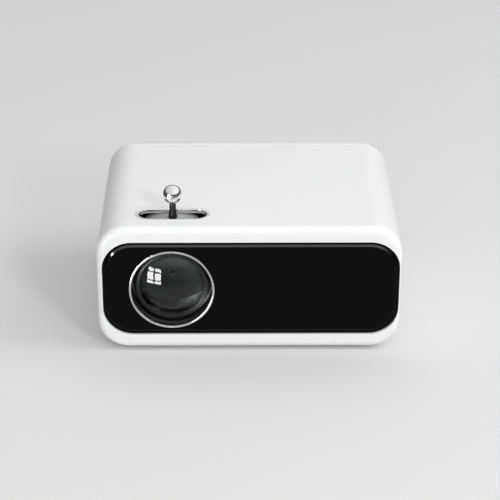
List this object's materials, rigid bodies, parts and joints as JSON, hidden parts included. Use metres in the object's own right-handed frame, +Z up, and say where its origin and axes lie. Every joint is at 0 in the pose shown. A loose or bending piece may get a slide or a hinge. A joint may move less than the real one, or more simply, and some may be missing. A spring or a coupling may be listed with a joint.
{
  "type": "home projector",
  "caption": "Compact home projector: rounded white sleeve, gloss front, recessed lens with a ball-ended focus lever in a top slot, fans, engine and ports inside.",
  "frame": {"origin": "on the surface that it stands on, under the middle of the body", "axes": "+Z up, front with the lens towards -Y, +X to the right seen from the front; the width is along X"},
  "size_m": [0.145, 0.11, 0.0804],
  "materials": {
    "white_shell": "satin moulded plastic",
    "gloss_black": "high gloss",
    "trim_metal": "polished",
    "matt_black": "matt moulded plastic",
    "rotor_grey": "satin",
    "focus_grey": "satin",
    "post_black": "satin black",
    "foot_rubber": "matt",
    "brass_insert": "turned",
    "filter_foam": "woven mesh",
    "screw_steel": "zinc plated",
    "lens_glass": "coated optical glass",
    "clear_plate": "clear",
    "mirror_face": "front-surface mirror",
    "lcd_metal": "stamped sheet",
    "lcd_glass": "gloss",
    "reflector_white": "gloss white",
    "led_board": "metal core board",
    "sink_aluminium": "extruded",
    "board_green": "solder mask",
    "button_white": "satin",
    "cone_paper": "pressed paper"
  },
  "bodies": {
    "chassis": {"outer_sleeve": "white_shell", "rear_cover": "white_shell", "front_panel": "gloss_black", "front_frame": "matt_black", "lens_trim_ring": "trim_metal", "lens_shroud": "matt_black", "slot_trim": "trim_metal", "rubber_feet": "foot_rubber", "chassis_tray": "matt_black", "tripod_insert": "brass_insert", "dust_filter": "filter_foam", "case_screws": "screw_steel", "tray_screws": "screw_steel", "frame_screws": "screw_steel", "lens_mount": "matt_black", "retaining_clip": "screw_steel", "mount_screws": "screw_steel", "engine_base": "matt_black", "engine_cover": "matt_black", "engine_screws": "screw_steel", "fold_mirror": "mirror_face", "field_lens": "clear_plate", "lcd_frame": "lcd_metal", "lcd_panel": "lcd_glass", "collimator_lens": "clear_plate", "heat_glass": "clear_plate", "condenser_holder": "matt_black", "condenser_lens": "clear_plate", "led_reflector": "reflector_white", "led_module": "led_board", "led_screws": "screw_steel", "heat_sink": "sink_aluminium", "exhaust_fan_frame": "matt_black", "fan_screws": "screw_steel", "small_fan_frame": "matt_black", "main_board": "board_green", "board_screws": "screw_steel", "hdmi_port": "lcd_metal", "usb_port": "lcd_metal", "audio_jack": "matt_black", "dc_inlet": "matt_black", "power_switch": "lcd_metal", "ir_receiver": "matt_black", "speaker_basket": "matt_black", "speaker_cone": "cone_paper", "speaker_magnet": "lcd_metal"},
    "focus_lever": {"focus_ring": "focus_grey", "lever_post": "post_black", "lever_knob": "trim_metal"},
    "lens_cell": {"lens_barrel": "matt_black", "guide_pins": "brass_insert", "lens_retainer": "matt_black", "front_lens": "lens_glass", "middle_lens": "lens_glass", "lens_spacer": "matt_black", "rear_lens": "lens_glass", "rear_retainer": "matt_black"},
    "exhaust_rotor": {"exhaust_fan_rotor": "rotor_grey"},
    "small_rotor": {"small_fan_rotor": "rotor_grey"},
    "power_key": {"power_button": "button_white"}
  },
  "joints": [
    {"name": "focus_turn", "type": "hinge", "parent": "chassis", "child": "focus_lever", "pos_m": [-0.037, -0.039, 0.0329], "axis": [0, 1, 0], "range_deg": [-21, 21]},
    {"name": "lens_travel", "type": "slide", "parent": "chassis", "child": "lens_cell", "axis": [0, 1, 0], "range_m": [-0.00184, 0.00184]},
    {"name": "exhaust_spin", "type": "hinge", "parent": "chassis", "child": "exhaust_rotor", "pos_m": [0.0405, 0.043, 0.0329], "axis": [0, 1, 0], "continuous": true},
    {"name": "small_fan_spin", "type": "hinge", "parent": "chassis", "child": "small_rotor", "pos_m": [0.013, -0.038, 0.0329], "axis": [0, 1, 0], "continuous": true},
    {"name": "power_press", "type": "slide", "parent": "chassis", "child": "power_key", "axis": [0, -1, 0], "range_m": [0, 0.0008], "stiffness_N_per_m": 1500, "springref_m": -0.0003}
  ],
  "couplings": [
    {"joint": "lens_travel", "follows": "focus_turn", "m_per_rad": 0.005}
  ]
}
